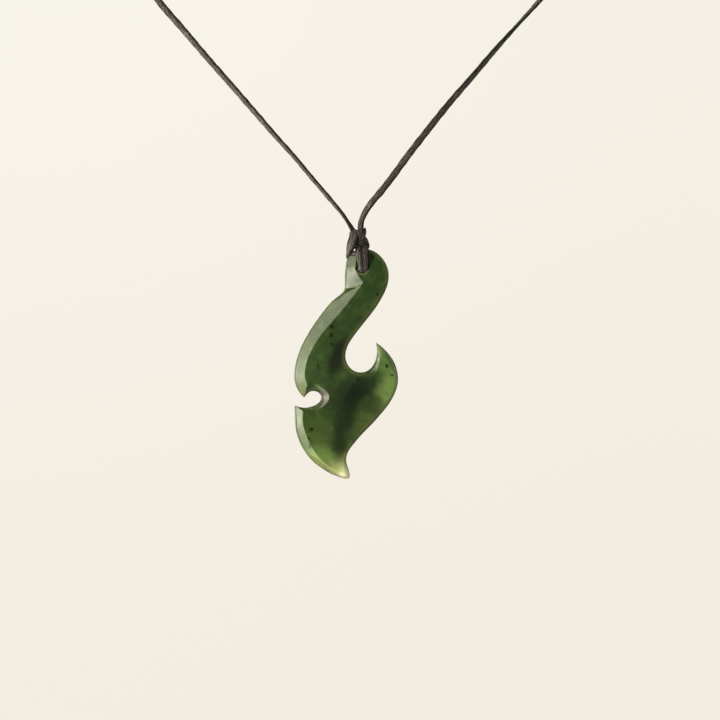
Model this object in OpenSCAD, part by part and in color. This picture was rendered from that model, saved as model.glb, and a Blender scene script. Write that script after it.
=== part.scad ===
// Hei matau: a polished greenstone fish hook hung by a hitch on a closed loop of flat braided cord.
// The origin is where the back of the neck carries the loop. Z is up and the front faces -Y.

/* [Hook] */
// Height of the hook, from the tail to the top of the head
hook_h = 55; // [40:1:75]
// Width of the hook, from the belly to the bulge under the barb
hook_w = 25; // [18:0.5:34]
// Thickness of the stone at the tail
tail_t = 6; // [4:0.1:8]
// Thickness of the stone at the head
head_t = 4.8; // [3.6:0.1:6.5]
// Thickness of the stone at its rim
rim_t = 1.1; // [0.6:0.1:1.8]

/* [Suspension hole] */
// Diameter of the hole
bore_d = 3; // [2.4:0.1:3.8]
// Distance from the top of the head down to the middle of the hole
bore_drop = 4.4; // [3.8:0.1:6]
// Width of the bevel at each mouth of the hole
bore_bevel = 0.3; // [0.1:0.05:0.4]

/* [Cord] */
// Width of the flat braid
cord_w = 1.5; // [1:0.1:2]
// Thickness of the flat braid
cord_t = 0.9; // [0.6:0.05:1.2]

/* [Lashing] */
// Width of one strand of the hitch where it lies on the stone
strand_w = 1.5; // [1.1:0.1:1.8]
// Thickness of one strand of the hitch
strand_t = 1; // [0.7:0.05:1.2]
// Space between the strands and the stone
strand_gap = 0.1; // [0.05:0.01:0.2]
// Space between the two strands
between_strands = 0.1; // [0.06:0.01:0.2]

/* [Knot above the stone] */
// Height of the knot
knot_h = 4.2; // [3.4:0.1:5.5]
// Width of the knot where it spreads over the head
knot_foot_d = 5.8; // [5.6:0.1:7]
// Width of the knot at its upper turn
knot_top_d = 4.2; // [3.4:0.1:5]
// Space between the knot and the head of the hook
knot_gap = 0.4; // [0.2:0.1:0.8]

/* [Knot behind the neck] */
// Length of the knot along the cord
closing_l = 13; // [11:0.5:16]
// Outside diameter of the knot
closing_d = 4.2; // [3.2:0.1:5.4]
// Number of turns in the knot
closing_turns = 5; // [3:1:7]

/* [Hidden] */
$fn = 48;

stone_green = [0.19, 0.33, 0.14];
cord_black = [0.13, 0.11, 0.09];

// The rim of the hook, down its left side, round the tail and up its right side.
// Each row: across and up as shares of the width and height, heading into and out of the point
// in degrees, across and up of the crease where the bevel meets the flat face, how far the
// bevel is rounded, from 0 for a flat one to 1 for a quarter round, and the point of the spine
// that the flat face reaches from here.
RIM = [
    [0.513, 0.963, 203, 265, 0.601, 0.956, 0.0, 0], // head, top left
    [0.490, 0.884, 269, 269, 0.620, 0.893, 0.0, 0], // head, left side
    [0.485, 0.829, 266, 228, 0.667, 0.849, 0.0, 1], // head, lower left corner
    [0.348, 0.764, 229, 229, 0.452, 0.725, 0.0, 1], // shank, left, upper
    [0.160, 0.648, 238, 238, 0.255, 0.620, 0.0, 2], // shank, left, middle
    [0.043, 0.541, 251, 251, 0.140, 0.528, 0.0, 3], // shank, left, lower
    [0.004, 0.443, 270, 270, 0.104, 0.452, 0.0, 3], // belly above the notch
    [0.098, 0.352, 316,  52, 0.127, 0.406, 0.0, 3], // upper lip of the notch
    [0.185, 0.381, 358, 358, 0.212, 0.410, 0.0, 4], // notch, top
    [0.263, 0.353, 270, 270, 0.338, 0.356, 0.0, 4], // notch, end
    [0.176, 0.314, 200, 200, 0.221, 0.298, 0.0, 5], // notch, bottom
    [0.010, 0.319, 152, 268, 0.086, 0.295, 0.0, 5], // lower lip of the notch
    [0.013, 0.238, 272, 272, 0.087, 0.238, 0.0, 5], // belly below the notch
    [0.067, 0.148, 296, 296, 0.146, 0.159, 0.0, 6], // belly, lower
    [0.216, 0.061, 322, 322, 0.255, 0.085, 0.2, 6], // belly, towards the tail
    [0.399, 0.012, 340, 340, 0.404, 0.041, 0.6, 6], // tail, lower side
    [0.522, 0.005,  20,  70, 0.466, 0.031, 0.6, 6], // tail tip
    [0.498, 0.083,  88,  88, 0.469, 0.083, 1.0, 6], // tail, inner side
    [0.608, 0.168,  51,  51, 0.586, 0.177, 1.0, 6], // back, low
    [0.788, 0.255,  49,  49, 0.766, 0.264, 1.0, 5], // back, middle
    [0.958, 0.359,  64,  64, 0.929, 0.365, 1.0, 4], // back, high
    [1.001, 0.437,  92,  92, 0.969, 0.437, 1.0, 4], // bulge
    [0.928, 0.533, 127, 127, 0.907, 0.511, 0.6, 4], // barb, outer side
    [0.787, 0.592, 152, 287, 0.878, 0.502, 0.3, 4], // barb tip
    [0.804, 0.548, 266, 266, 0.852, 0.489, 0.3, 4], // barb, inner side
    [0.646, 0.462, 181, 181, 0.649, 0.449, 1.0, 4], // throat, bottom
    [0.496, 0.533,  91,  91, 0.468, 0.531, 1.0, 3], // throat, side of the shank
    [0.611, 0.642,  53,  53, 0.588, 0.650, 1.0, 2], // shank, right, lower
    [0.810, 0.761,  58,  58, 0.785, 0.768, 1.0, 1], // shank, right, upper
    [0.912, 0.886,  91,  91, 0.882, 0.886, 1.0, 0], // head, right side
    [0.827, 0.972, 136, 136, 0.807, 0.962, 1.0, 0], // head, upper right
    [0.697, 1.000, 180, 203, 0.692, 0.986, 1.0, 0], // head, top
];
ACROSS = 0;
UP = 1;
HEADING_IN = 2;
HEADING_OUT = 3;
CREASE_ACROSS = 4;
CREASE_UP = 5;
CROWN = 6;
SPINE_POINT = 7;

// The middle line of the flat face, from the head to the tail: across and up, as shares
SPINE = [
    [0.75, 0.92], // head
    [0.67, 0.81], // neck
    [0.43, 0.66], // shank
    [0.29, 0.50], // belly
    [0.67, 0.39], // heart, under the throat
    [0.42, 0.26], // belly below the notch
    [0.40, 0.12], // towards the tail
];

// Sections of the stone between two rows, and how far its bevel has gone in at each line
SECTIONS = 6;
BEVEL_LINES = [0, 0.12, 0.4, 0.7, 1];
// A turn between the two headings of a row that is wider than this is a corner
CORNER_TURN = 15;

// The middle of the cord, from the knot above the stone to the knot behind the neck, as [x, z].
// The front of the loop is the V that hangs from the neck, and its back is the plain way round.
LEFT_ROUTE = [
    [0, -151], [-1, -149.4], [-2.4, -147.3], [-4.3, -145], [-6.5, -142.4], [-10, -138.3],
    [-14, -133.5], [-18.6, -128.4], [-23.8, -122.4], [-29.2, -116.2], [-35, -109.6],
    [-40.8, -102.8], [-46.8, -95.8], [-53.2, -86.2], [-57.6, -73.8], [-59.6, -59.5],
    [-58.6, -45.6], [-54.4, -32.6], [-47.2, -20.8], [-37.6, -11], [-26.6, -3.8],
    [-16.6, 0.2], [-9.6, 2], [-6.5, 2.1],
];
RIGHT_ROUTE = [
    [1.8, -150.6], [2, -149], [2.8, -147], [4.5, -144.4], [6.7, -141.8], [9.2, -138.6],
    [13, -133.4], [17.4, -127.7], [23, -120.7], [28.8, -114], [34.6, -107.2],
    [40.2, -101], [45.4, -95.2], [52.4, -85.6], [57.6, -73], [59.6, -59.5],
    [58.6, -45.6], [54.4, -32.6], [47.2, -20.8], [37.6, -11], [26.6, -3.8],
    [16.6, 0.2], [9.6, 2], [6.5, 2.1],
];
CORD_SIDES = 8;

// The stone hangs under the knot, and the knot under the two ends of the cord
knot_x = 1.1;
knot_top_z = LEFT_ROUTE[0][1];
knot_foot_z = knot_top_z - knot_h;
hook_top_z = knot_foot_z - knot_gap;
BORE_ACROSS = 0.656;
bore_x = 2.2;
bore_z = hook_top_z - bore_drop;
hook_x = bore_x - BORE_ACROSS * hook_w;
hook_z = hook_top_z - hook_h;

// Where the strands leave the knot, as a share of the way out to the face of the stone, and how
// far below the top of the head they come to lie on the face
LEAVE_SHARE = 0.43;
shoulder_drop = 0.9;
// How much of its half of the hole each strand fills
IN_BORE_SHARE = 0.82;

stub_l = 1.4;
wrap_d = cord_w;
closing_z = closing_d / 2;
closing_core_d = cord_w + 0.3;
closing_wrap_d = 1.7;
closing_stub_l = 1.4;

function lerp(a, b, t) = a + (b - a) * t;
function unit(v) = v / norm(v);
function wrapped(i, n) = (i % n + n) % n;
function towards(degrees) = [cos(degrees), sin(degrees)];

// Half the thickness of the stone on its flat face, at a share of its height
function face_y(up) = lerp(tail_t, head_t, up) / 2;

function rim_point(i) = [RIM[i][ACROSS] * hook_w, RIM[i][UP] * hook_h];
function crease_point(i) = [RIM[i][CREASE_ACROSS] * hook_w, RIM[i][CREASE_UP] * hook_h];

// A cubic between two rows that keeps both headings, and is a true arc where the turn is even
function rim_at(i, t) =
    let (j = wrapped(i + 1, len(RIM)))
    let (a = rim_point(i), b = rim_point(j))
    let (turn = abs(wrapped(RIM[j][HEADING_IN] - RIM[i][HEADING_OUT] + 180, 360) - 180))
    let (reach = norm(b - a) / (3 * pow(cos(turn / 4), 2)))
    let (c = a + reach * towards(RIM[i][HEADING_OUT]), d = b - reach * towards(RIM[j][HEADING_IN]))
    pow(1 - t, 3) * a + 3 * pow(1 - t, 2) * t * c + 3 * (1 - t) * t * t * d + pow(t, 3) * b;

function is_corner(i) = abs(RIM[i][HEADING_OUT] - RIM[i][HEADING_IN]) > CORNER_TURN;

// The way the crease goes at a row that isn't a corner
function crease_way(i) =
    unit(crease_point(wrapped(i + 1, len(RIM))) - crease_point(wrapped(i - 1, len(RIM))));

function crease_at(i, t) =
    let (j = wrapped(i + 1, len(RIM)))
    let (a = crease_point(i), b = crease_point(j))
    let (reach = norm(b - a) / 3)
    let (c = a + reach * (is_corner(i) ? unit(b - a) : crease_way(i)))
    let (d = b - reach * (is_corner(j) ? unit(b - a) : crease_way(j)))
    pow(1 - t, 3) * a + 3 * pow(1 - t, 2) * t * c + 3 * (1 - t) * t * t * d + pow(t, 3) * b;

// How high the bevel has risen, as a share, where it has gone in by a share of its width
function risen(share, crown) = lerp(share, sin(90 * share), crown);

function section_line(i, t, share) =
    let (crown = lerp(RIM[i][CROWN], RIM[wrapped(i + 1, len(RIM))][CROWN], t))
    let (place = lerp(rim_at(i, t), crease_at(i, t), share))
    let (y = lerp(rim_t / 2, face_y(crease_at(i, t)[1] / hook_h), risen(share, crown)))
    [place[0], y, place[1]];

// One section runs from the crease on the back, over the rim, to the crease on the front
function section(i, t) =
    let (last = len(BEVEL_LINES) - 1)
    let (half = [for (k = [0:last]) section_line(i, t, BEVEL_LINES[k])])
    concat([for (k = [last:-1:0]) half[k]], [for (k = [0:last]) [half[k][0], -half[k][1], half[k][2]]]);

// The flat face: a fan from each point of the spine to the crease, and the steps between fans.
// The crease is every m-th point from first on, and the spine's points start at spine.
function flat_face(n, m, first, spine) = [
    for (i = [0:n - 1])
        let (row = floor(i / SECTIONS), j = (i + 1) % n)
        let (here = RIM[row][SPINE_POINT], next = RIM[floor(j / SECTIONS)][SPINE_POINT])
        let (step = next > here ? 1 : -1)
        each concat(
            [[i * m + first, spine + here, j * m + first]],
            here == next ? [] : [for (k = [here:step:next - step])
                [j * m + first, spine + k, spine + k + step]]
        )
];

function turned(faces) = [for (f = faces) [f[0], f[2], f[1]]];

module blank() {
    sections = [for (i = [0:len(RIM) - 1]) for (s = [0:SECTIONS - 1]) section(i, s / SECTIONS)];
    n = len(sections);
    m = len(sections[0]);
    polyhedron(
        points = concat(
            [for (s = sections) each s],
            [for (side = [1, -1]) for (p = SPINE)
                [p[ACROSS] * hook_w, side * face_y(p[UP]), p[UP] * hook_h]]
        ),
        faces = concat(
            [for (i = [0:n - 1]) for (k = [0:m - 2])
                let (j = (i + 1) % n)
                [i * m + k, i * m + k + 1, j * m + k + 1, j * m + k]],
            turned(flat_face(n, m, 0, n * m)),
            flat_face(n, m, m - 1, n * m + len(SPINE))
        ),
        convexity = 6
    );
}

module suspension_hole() {
    face = face_y(1 - bore_drop / hook_h);
    translate([bore_x, 0, bore_z])
        rotate([90, 0, 0]) {
            cylinder(h = 2 * tail_t, d = bore_d, center = true);
            for (side = [0, 1])
                mirror([0, 0, side])
                    translate([0, 0, face - bore_bevel])
                        cylinder(h = 2 * bore_bevel, d1 = bore_d, d2 = bore_d + 4 * bore_bevel);
        }
}

module hook() {
    color(stone_green)
        difference() {
            translate([hook_x, 0, hook_z]) blank();
            suspension_hole();
        }
}

// A tube along a path. Each row of the path: its middle, the way it goes, the way its width
// lies, its width and its thickness.
module tube(path) {
    n = CORD_SIDES;
    rings = [for (p = path)
        let (middle = p[0], ahead = unit(p[1]), side = unit(p[2] - (p[2] * ahead) * ahead))
        let (face = cross(ahead, side))
        for (k = [0:n - 1])
            let (a = 360 * (k + 0.5) / n)
            middle + side * (p[3] / 2 * cos(a)) + face * (p[4] / 2 * sin(a))];
    last = len(path) - 1;
    polyhedron(
        points = rings,
        faces = concat(
            [[for (k = [0:n - 1]) k]],
            [for (i = [0:last - 1]) for (k = [0:n - 1])
                let (next = (k + 1) % n)
                [i * n + k, (i + 1) * n + k, (i + 1) * n + next, i * n + next]],
            [[for (k = [n - 1:-1:0]) last * n + k]]
        ),
        convexity = 6
    );
}

// Where a path of points goes at one of them
function way(points, i) =
    let (last = len(points) - 1)
    i == 0 ? points[1] - points[0]
    : i == last ? points[last] - points[last - 1]
    : unit(points[i + 1] - points[i]) + unit(points[i] - points[i - 1]);

module free_cord(route) {
    points = [for (p = route) [p[0], 0, p[1]]];
    across = [0, 1, 0];
    color(cord_black)
        tube([for (i = [0:len(points) - 1])
            let (ahead = way(points, i))
            [points[i], ahead, cross(ahead, across), cord_w, cord_t]]);
}

module left_cord() free_cord(LEFT_ROUTE);

module right_cord() free_cord(RIGHT_ROUTE);

// One strand of the hitch, from the knot down the front of the stone, through the hole and up its
// back. Each row of its front half: how far in front of the middle, height, and width.
module strand(side) {
    out = face_y(1 - bore_drop / hook_h) + strand_gap + strand_t / 2;
    leave_y = lerp(0, out, LEAVE_SHARE);
    face_z = hook_top_z - shoulder_drop;
    in_bore_w = (bore_d - 2 * strand_gap - between_strands) / 2 * IN_BORE_SHARE;
    bore_path_z = bore_z - bore_d * 0.1;
    front = [
        [leave_y, knot_foot_z, 0.6 * strand_w],
        [leave_y, knot_foot_z - strand_t * 0.1, 0.6 * strand_w],
        [lerp(leave_y, out, 0.7), lerp(knot_foot_z, face_z, 0.35), 0.75 * strand_w],
        [out, face_z, strand_w],
        [out, lerp(hook_top_z, bore_z, 0.5), strand_w],
        [out, bore_z + bore_d * 0.3, lerp(in_bore_w, strand_w, 0.7)],
        [out - strand_t * 0.12, bore_z + bore_d * 0.1, lerp(in_bore_w, strand_w, 0.35)],
        [out - strand_t * 0.55, bore_path_z + strand_t * 0.1, in_bore_w],
        [out - strand_t * 1.1, bore_path_z, in_bore_w],
    ];
    last = len(front) - 1;
    rows = concat(front, [for (k = [last:-1:0]) [-front[k][0], front[k][1], front[k][2]]]);
    points = [for (r = rows) [bore_x + side * (r[2] + between_strands) / 2, -r[0], r[1]]];
    ends = len(points) - 1;
    tube([for (i = [0:ends])
        let (ahead = i < 2 ? [0, 0, -1] : i > ends - 2 ? [0, 0, 1] : way(points, i))
        [points[i], ahead, [1, 0, 0], rows[i][2], strand_t]]);
}

module lashing() {
    color(cord_black)
        for (side = [-1, 1]) strand(side);
}

module ring(across_d, thick_d) {
    rotate_extrude() translate([(across_d - thick_d) / 2, 0]) circle(d = thick_d);
}

// The end of the knot that one half of the cord leaves, square to the way it leaves
module stub(route) {
    lean = atan2(route[1][0] - route[0][0], route[1][1] - route[0][1]);
    translate([route[0][0], 0, route[0][1]])
        rotate([0, lean, 0])
            translate([0, 0, -stub_l]) cylinder(h = stub_l, d = cord_w);
}

module binding_knot() {
    color(cord_black) {
        translate([knot_x, 0, knot_foot_z]) {
            cylinder(h = knot_h * 0.62, d1 = knot_foot_d, d2 = knot_top_d * 0.8);
            cylinder(h = knot_h - wrap_d / 2, d = knot_top_d * 0.7);
            translate([0, 0, knot_h * 0.4]) ring(knot_top_d * 1.05, wrap_d);
            translate([0, 0, knot_h - wrap_d * 0.85]) ring(knot_top_d, wrap_d);
        }
        stub(LEFT_ROUTE);
        stub(RIGHT_ROUTE);
    }
}

module closing_knot() {
    wrapped_l = closing_l - 2 * closing_stub_l - closing_wrap_d;
    pitch = wrapped_l / (closing_turns - 1);
    color(cord_black)
        translate([0, 0, closing_z])
            rotate([0, 90, 0]) {
                cylinder(h = closing_l, d = closing_core_d, center = true);
                cylinder(h = wrapped_l, d = closing_d - closing_wrap_d / 2, center = true);
                for (k = [0:closing_turns - 1])
                    translate([0, 0, k * pitch - wrapped_l / 2]) ring(closing_d, closing_wrap_d);
            }
}

hook();
lashing();
binding_knot();
left_cord();
right_cord();
closing_knot();
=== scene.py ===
import math

import bpy
import numpy as np
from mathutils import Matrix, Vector
from mathutils.geometry import delaunay_2d_cdt


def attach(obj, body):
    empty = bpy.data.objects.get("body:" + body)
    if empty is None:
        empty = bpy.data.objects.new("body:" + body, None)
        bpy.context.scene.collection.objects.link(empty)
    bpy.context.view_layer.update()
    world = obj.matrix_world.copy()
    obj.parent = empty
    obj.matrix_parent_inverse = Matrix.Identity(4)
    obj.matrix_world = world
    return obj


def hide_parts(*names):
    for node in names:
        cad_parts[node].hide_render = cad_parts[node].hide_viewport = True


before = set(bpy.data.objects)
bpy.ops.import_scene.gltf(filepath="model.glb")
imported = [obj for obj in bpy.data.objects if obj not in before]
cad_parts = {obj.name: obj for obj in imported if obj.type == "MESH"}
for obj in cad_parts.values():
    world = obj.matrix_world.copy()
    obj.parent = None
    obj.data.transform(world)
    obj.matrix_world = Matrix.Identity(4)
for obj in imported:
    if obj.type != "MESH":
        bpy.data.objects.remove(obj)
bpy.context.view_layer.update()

MM = 0.001

# ---------------------------------------------------------------- camera
PICTURE_MIDDLE = (1.7, -182.2)  # x and z in mm, at the plane of the stone
PICTURE_SIDE = 172.9  # mm
LENS = 135.0
SENSOR = 36.0

camera_data = bpy.data.cameras.new("camera")
camera_data.lens = LENS
camera_data.sensor_width = SENSOR
camera_data.clip_start, camera_data.clip_end = 0.05, 50.0
camera = bpy.data.objects.new("camera", camera_data)
bpy.context.scene.collection.objects.link(camera)
camera.location = (
    PICTURE_MIDDLE[0] * MM,
    -PICTURE_SIDE * LENS / SENSOR * MM,
    PICTURE_MIDDLE[1] * MM,
)
camera.rotation_euler = (math.radians(90), 0, 0)
bpy.context.scene.camera = camera
bpy.context.scene.view_settings.view_transform = "Standard"


# ---------------------------------------------------------------- helpers
def unit(v):
    """Unit vectors along the last axis."""
    v = np.asarray(v, float)
    return v / np.maximum(np.linalg.norm(v, axis=-1, keepdims=True), 1e-12)


def mesh_object(name, points, faces, along=None, smooth=True):
    """A mesh object from points in mm. along gives each corner's place on its strand, in mm, and
    for a braid its place round the braid too."""
    mesh = bpy.data.meshes.new(name)
    mesh.from_pydata((np.asarray(points) * MM).tolist(), [], faces)
    if along is not None:
        corners = np.empty(len(mesh.loops), np.int32)
        mesh.loops.foreach_get("vertex_index", corners)
        for k, layer_name in enumerate(("along", "round")[: along.shape[1] // 2]):
            layer = mesh.uv_layers.new(name=layer_name)
            values = np.asarray(along[:, 2 * k : 2 * k + 2], np.float32)
            layer.data.foreach_set("uv", values[corners].ravel())
    if smooth:
        mesh.shade_smooth()
    mesh.update()
    o = bpy.data.objects.new(name, mesh)
    bpy.context.scene.collection.objects.link(o)
    return o


def curve_through(points, step):
    """A smooth curve through points, as points about a step apart and how far along each one is.
    Columns after the third, such as a width, are carried along smoothly too."""
    p = np.asarray(points, float)
    gaps = np.maximum(np.linalg.norm(np.diff(p[:, :3], axis=0), axis=1), 1e-9)
    slopes = np.diff(p, axis=0) / gaps[:, None]
    tangents = np.empty_like(p)
    tangents[0], tangents[-1] = slopes[0], slopes[-1]
    w = gaps[:-1] / (gaps[:-1] + gaps[1:])
    tangents[1:-1] = slopes[:-1] * (1 - w)[:, None] + slopes[1:] * w[:, None]
    fine = []
    for i, gap in enumerate(gaps):
        t = np.linspace(0, 1, 41)[: (None if i == len(gaps) - 1 else -1), None]
        fine.append(
            (2 * t**3 - 3 * t**2 + 1) * p[i]
            + (t**3 - 2 * t**2 + t) * gap * tangents[i]
            + (3 * t**2 - 2 * t**3) * p[i + 1]
            + (t**3 - t**2) * gap * tangents[i + 1]
        )
    fine = np.concatenate(fine)
    s = np.concatenate([[0], np.cumsum(np.linalg.norm(np.diff(fine[:, :3], axis=0), axis=1))])
    n = max(3, int(round(s[-1] / step)) + 1)
    want = np.linspace(0, s[-1], n)
    return np.stack([np.interp(want, s, fine[:, k]) for k in range(p.shape[1])], 1), want


# The braid, in mm
CARRIERS = 6  # yarns going each way round
YARN_THICK = 0.15
YARN_WIDE = 0.44  # on a braid YARN_FITS wide
YARN_FITS = 1.55
YARN_STRETCH = (0.7, 1.4)  # how far a narrower or a wider braid squeezes or spreads its yarns
YARN_CORNERS = np.radians([0, 50, 130, 180, 230, 310])
WEAVE = 0.015  # how far a yarn goes out and in where it crosses the others
LEAST_RING = (0.12, 0.08)  # half the width and thickness of the ring that the yarns follow
CORE_SIDES = 12
CORE_IN = 0.07  # how far the core lies under the braid's outside
LEAST_CORE = (0.15, 0.1)
YARNS_APART = (37.0, 3.0)  # so that no two yarns get the same fibres
CORE_APART = 50.0


def tube_faces(base, rings, corners):
    """Faces of a closed tube whose points start at base, ring after ring."""
    k = np.arange(rings - 1)[:, None] * corners + np.arange(corners)[None]
    j = np.arange(rings - 1)[:, None] * corners + (np.arange(corners) + 1)[None] % corners
    sides = (base + np.stack([k, j, j + corners, k + corners], -1).reshape(-1, 4)).tolist()
    first = list(range(base + corners - 1, base - 1, -1))
    last = list(range(base + (rings - 1) * corners, base + rings * corners))
    return sides + [first, last]


def braid(centre, along, side, width, thick, lay, start=0.0):
    """A flat braid of twelve flat yarns round a core. side is the way its width lies, and lay is
    the length in which a yarn goes once round. Gives points, faces and the place on the strand."""
    ahead = unit(np.gradient(centre, axis=0))
    side = unit(side - (side * ahead).sum(1, keepdims=True) * ahead)
    face = np.cross(ahead, side)
    width = np.broadcast_to(width, along.shape)
    thick = np.broadcast_to(thick, along.shape)
    turn = 2 * math.pi * along / lay
    half_w = np.maximum(width / 2 - YARN_THICK / 2 - WEAVE, LEAST_RING[0])
    half_t = np.maximum(thick / 2 - YARN_THICK / 2 - WEAVE, LEAST_RING[1])
    wide = YARN_WIDE * np.clip(width / YARN_FITS, *YARN_STRETCH)
    points, faces, where = [], [], []
    n, m = len(along), len(YARN_CORNERS)
    yarn_place = np.cos(YARN_CORNERS) * 0.5 + np.sin(YARN_CORNERS) * 0.2
    for i in range(2 * CARRIERS):
        way = 1 if i < CARRIERS else -1
        a = way * turn + 2 * math.pi * (i % CARRIERS) / CARRIERS + start
        over = way * WEAVE * np.cos(CARRIERS * turn)
        out2 = unit(np.stack([np.cos(a) / half_w, np.sin(a) / half_t], 1))
        out = side * out2[:, :1] + face * out2[:, 1:]
        middle = centre + side * (half_w * np.cos(a))[:, None] + face * (half_t * np.sin(a))[:, None]
        middle = middle + out * over[:, None]
        go = unit(np.gradient(middle, axis=0))
        out = unit(out - (out * go).sum(1, keepdims=True) * go)
        across = np.cross(go, out)
        ring = (
            middle[:, None]
            + across[:, None] * (wide[:, None] / 2 * np.cos(YARN_CORNERS))[..., None]
            + out[:, None] * (YARN_THICK / 2 * np.sin(YARN_CORNERS))[None, :, None]
        )
        faces += tube_faces(sum(len(p) for p in points), n, m)
        points.append(ring.reshape(-1, 3))
        place = [
            np.repeat(along, m) + YARNS_APART[0] * i,
            np.tile(yarn_place, n) * YARN_WIDE + YARNS_APART[1] * i,
            np.repeat(np.cos(a), m),
            np.repeat(np.sin(a), m),
        ]
        where.append(np.stack(place, 1))
    # the core keeps light from coming through between the yarns
    m = CORE_SIDES
    a = 2 * math.pi * np.arange(m) / m
    core_w = np.maximum(width / 2 - CORE_IN, LEAST_CORE[0])
    core_t = np.maximum(thick / 2 - CORE_IN, LEAST_CORE[1])
    ring = (
        centre[:, None]
        + side[:, None] * (core_w[:, None] * np.cos(a))[..., None]
        + face[:, None] * (core_t[:, None] * np.sin(a))[..., None]
    )
    faces += tube_faces(sum(len(p) for p in points), n, m)
    points.append(ring.reshape(-1, 3))
    round_it = [np.tile(np.cos(a), n), np.tile(np.sin(a), n)]
    where.append(np.stack([np.repeat(along, m), np.tile(a, n) + CORE_APART, *round_it], 1))
    return np.concatenate(points), faces, np.concatenate(where)


def joined(parts):
    """Several (points, faces, along) as one."""
    points, faces, where, base = [], [], [], 0
    for p, f, w in parts:
        points.append(p)
        where.append(w)
        faces += [[base + k for k in g] for g in f]
        base += len(p)
    return np.concatenate(points), faces, np.concatenate(where)


# ---------------------------------------------------------------- cords
# The same routes as the CAD, as x and z in metres
LEFT_ROUTE = [
    (0, -0.151), (-0.001, -0.1494), (-0.0024, -0.1473), (-0.0043, -0.145), (-0.0065, -0.1424),
    (-0.01, -0.1383), (-0.014, -0.1335), (-0.0186, -0.1284), (-0.0238, -0.1224),
    (-0.0292, -0.1162), (-0.035, -0.1096), (-0.0408, -0.1028), (-0.0468, -0.0958),
    (-0.0532, -0.0862), (-0.0576, -0.0738), (-0.0596, -0.0595), (-0.0586, -0.0456),
    (-0.0544, -0.0326), (-0.0472, -0.0208), (-0.0376, -0.011), (-0.0266, -0.0038),
    (-0.0166, 0.0002), (-0.0096, 0.002), (-0.0065, 0.0021),
]
RIGHT_ROUTE = [
    (0.0018, -0.1506), (0.002, -0.149), (0.0028, -0.147), (0.0045, -0.1444), (0.0067, -0.1418),
    (0.0092, -0.1386), (0.013, -0.1334), (0.0174, -0.1277), (0.023, -0.1207), (0.0288, -0.114),
    (0.0346, -0.1072), (0.0402, -0.101), (0.0454, -0.0952), (0.0524, -0.0856),
    (0.0576, -0.073), (0.0596, -0.0595), (0.0586, -0.0456), (0.0544, -0.0326),
    (0.0472, -0.0208), (0.0376, -0.011), (0.0266, -0.0038), (0.0166, 0.0002),
    (0.0096, 0.002), (0.0065, 0.0021),
]
CORD_WIDE = 1.64  # mm
CORD_THICK = 0.96
CORD_STEP = 0.22
CORD_LAY = 16.0
# How unevenly waxed cord is braided: a share of its width, waves in radians a mm, and a start
CORD_SWELLS = [(0.035, 2.05, 0.0), (0.025, 1.27, 1.0)]
# How far the flat of the braid has turned edge-on, in degrees, at mm along from the knot
LEFT_TWIST = [
    (0, 60), (4, 88), (7, 108), (15, 114), (22, 116), (28, 122), (34, 130), (46, 137), (59, 144),
    (70, 162), (80, 180), (95, 200), (150, 330), (200, 360),
]
RIGHT_TWIST = [
    (0, -42), (4, -34), (8, -16), (12, -2), (22, 4), (34, 26), (46, 44), (56, 62), (62, 88),
    (66, 112), (70, 126), (78, 142), (96, 180), (150, 300), (200, 360),
]


def cord_piece(name, route, twist):
    """A free stretch of flat braid in the X-Z plane, with a slow twist, and its centreline in m."""
    flat = [(x / MM, 0.0, z / MM) for x, z in route]
    centre, along = curve_through(flat, CORD_STEP)
    ahead = unit(np.gradient(centre, axis=0))
    level = np.stack([ahead[:, 2], 0 * along, -ahead[:, 0]], 1)
    turns = curve_through([(d, 0, 0, a) for d, a in twist], 0.5)[0]
    a = np.radians(np.interp(along, turns[:, 0], turns[:, 3]))[:, None]
    side = level * np.cos(a) + np.array([0, 1.0, 0]) * np.sin(a)
    swell = np.ones_like(along)
    for share, rate, at in CORD_SWELLS:
        swell += share * np.sin(along * rate + at)
    p, f, w = braid(centre, along, side, CORD_WIDE * swell, CORD_THICK * swell, CORD_LAY)
    return mesh_object(name, p, f, w), centre * MM


left_cord, left_path = cord_piece("left_cord_braid", LEFT_ROUTE, LEFT_TWIST)
right_cord, right_path = cord_piece("right_cord_braid", RIGHT_ROUTE, RIGHT_TWIST)

# ---------------------------------------------------------------- knots
BORE = (2.2, -160.0)  # x and z of the hole's axis, in mm
STRAND_STEP = 0.12
STRAND_LAY = 22.0


def strand(rows, start):
    """A stretch of braid through rows of x, y, z, width, thickness and the way its flat side faces,
    all in mm. start turns its yarns."""
    fine, along = curve_through(rows, STRAND_STEP)
    centre, facing = fine[:, :3], unit(fine[:, 5:8])
    side = np.cross(facing, unit(np.gradient(centre, axis=0)))
    return braid(centre, along, side, fine[:, 3], fine[:, 4], STRAND_LAY, start)


def strands(name, all_rows, turned):
    """One piece of several strands, each with its yarns turned on from the last one's."""
    return mesh_object(name, *joined([strand(rows, turned * k) for k, rows in enumerate(all_rows)]))


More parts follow.
